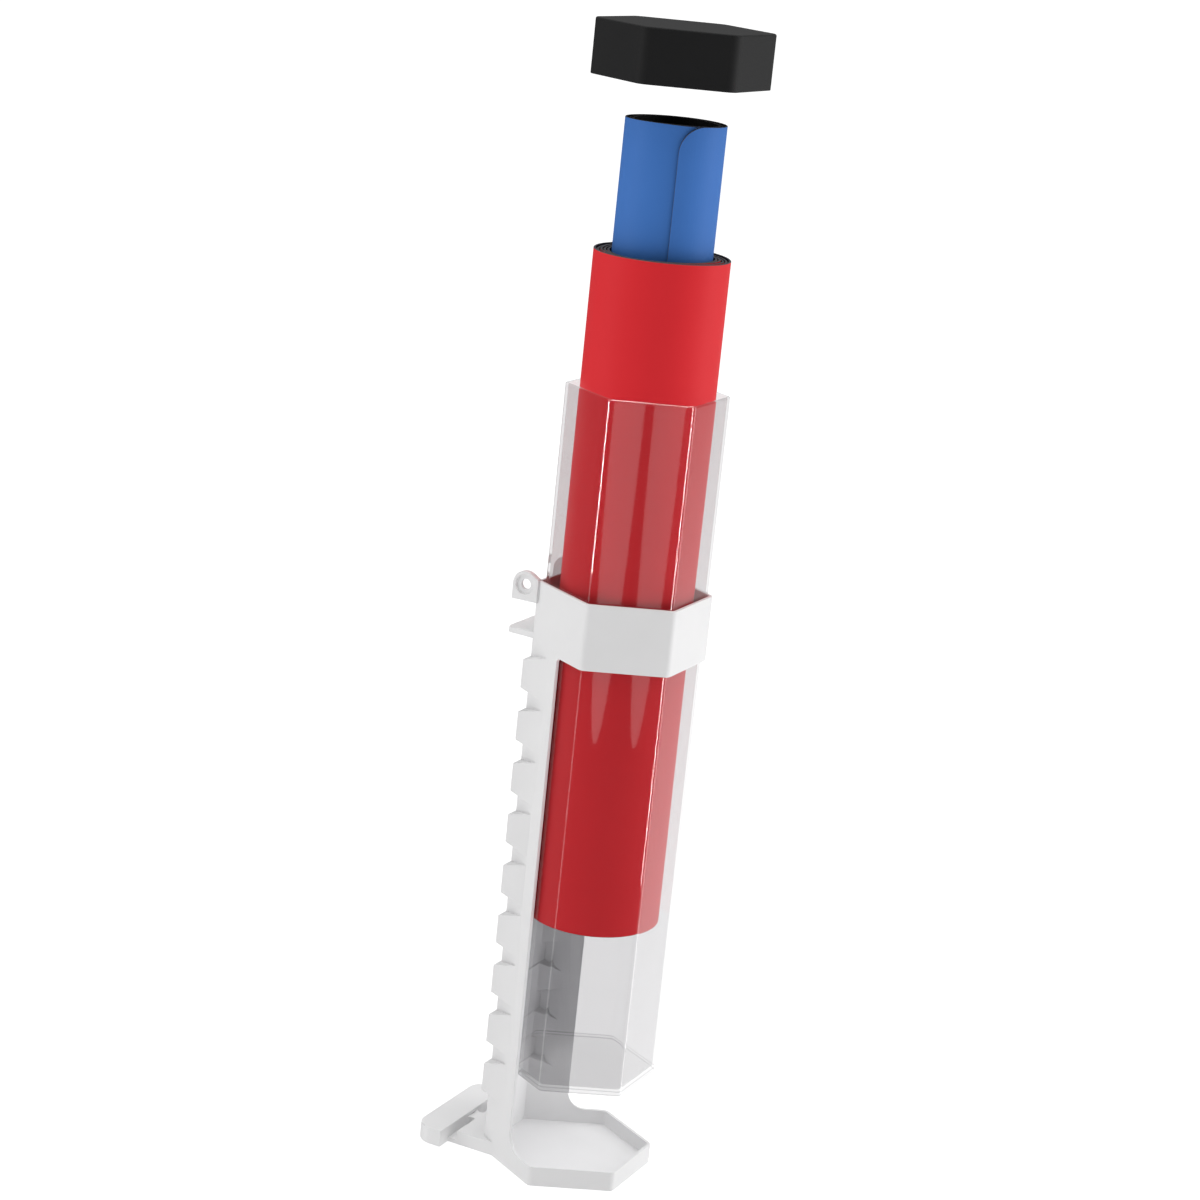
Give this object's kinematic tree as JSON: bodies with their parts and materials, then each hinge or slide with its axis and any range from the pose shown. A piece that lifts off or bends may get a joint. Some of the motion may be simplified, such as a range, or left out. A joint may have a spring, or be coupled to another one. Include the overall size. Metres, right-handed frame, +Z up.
{
  "type": "rolled fire blanket canister set",
  "caption": "Two rolled sheets in a clear hexagonal canister with a black cap, held in a white wall bracket with a toothed spine, collar, cup and hook foot, drawn apart along its axis.",
  "frame": {"origin": "centre of the flat underside of the bracket's cup, on the canister's axis", "axes": "+Z up along the canister's axis, +Y out of the bracket's back, +X to the right seen from the front; the hexagons have flats facing +Y and -Y"},
  "size_m": [0.08, 0.1045, 0.5447],
  "materials": {
    "white_moulding": "satin white moulded plastic",
    "clear_canister": "clear glossy plastic",
    "red_sheet": "red coated cloth with a black back",
    "blue_sheet": "blue coated cloth with a black back",
    "black_cap": "matte black moulded plastic"
  },
  "bodies": {
    "bracket": {"bracket_cup": "white_moulding", "bracket_spine": "white_moulding", "bracket_collar": "white_moulding", "bracket_lug_left": "white_moulding", "bracket_lug_right": "white_moulding", "bracket_catch": "white_moulding", "bracket_foot": "white_moulding"},
    "canister": {"canister_tube": "clear_canister"},
    "red_roll": {"red_sheet_roll": "red_sheet"},
    "blue_roll": {"blue_sheet_roll": "blue_sheet"},
    "cap_body": {"cap": "black_cap"}
  },
  "joints": [
    {"name": "canister_slide", "type": "slide", "parent": "bracket", "child": "canister", "axis": [0, 0, 1], "range_m": [-0.0452, 0.235]},
    {"name": "red_roll_slide", "type": "slide", "parent": "canister", "child": "red_roll", "axis": [0, 0, 1], "range_m": [-0.0754, 0.25]},
    {"name": "blue_roll_slide", "type": "slide", "parent": "red_roll", "child": "blue_roll", "axis": [0, 0, 1], "range_m": [-0.0593, 0.255]},
    {"name": "cap_lift", "type": "slide", "parent": "blue_roll", "child": "cap_body", "axis": [0, 0, 1], "range_m": [-0.0259, 0.1]}
  ]
}
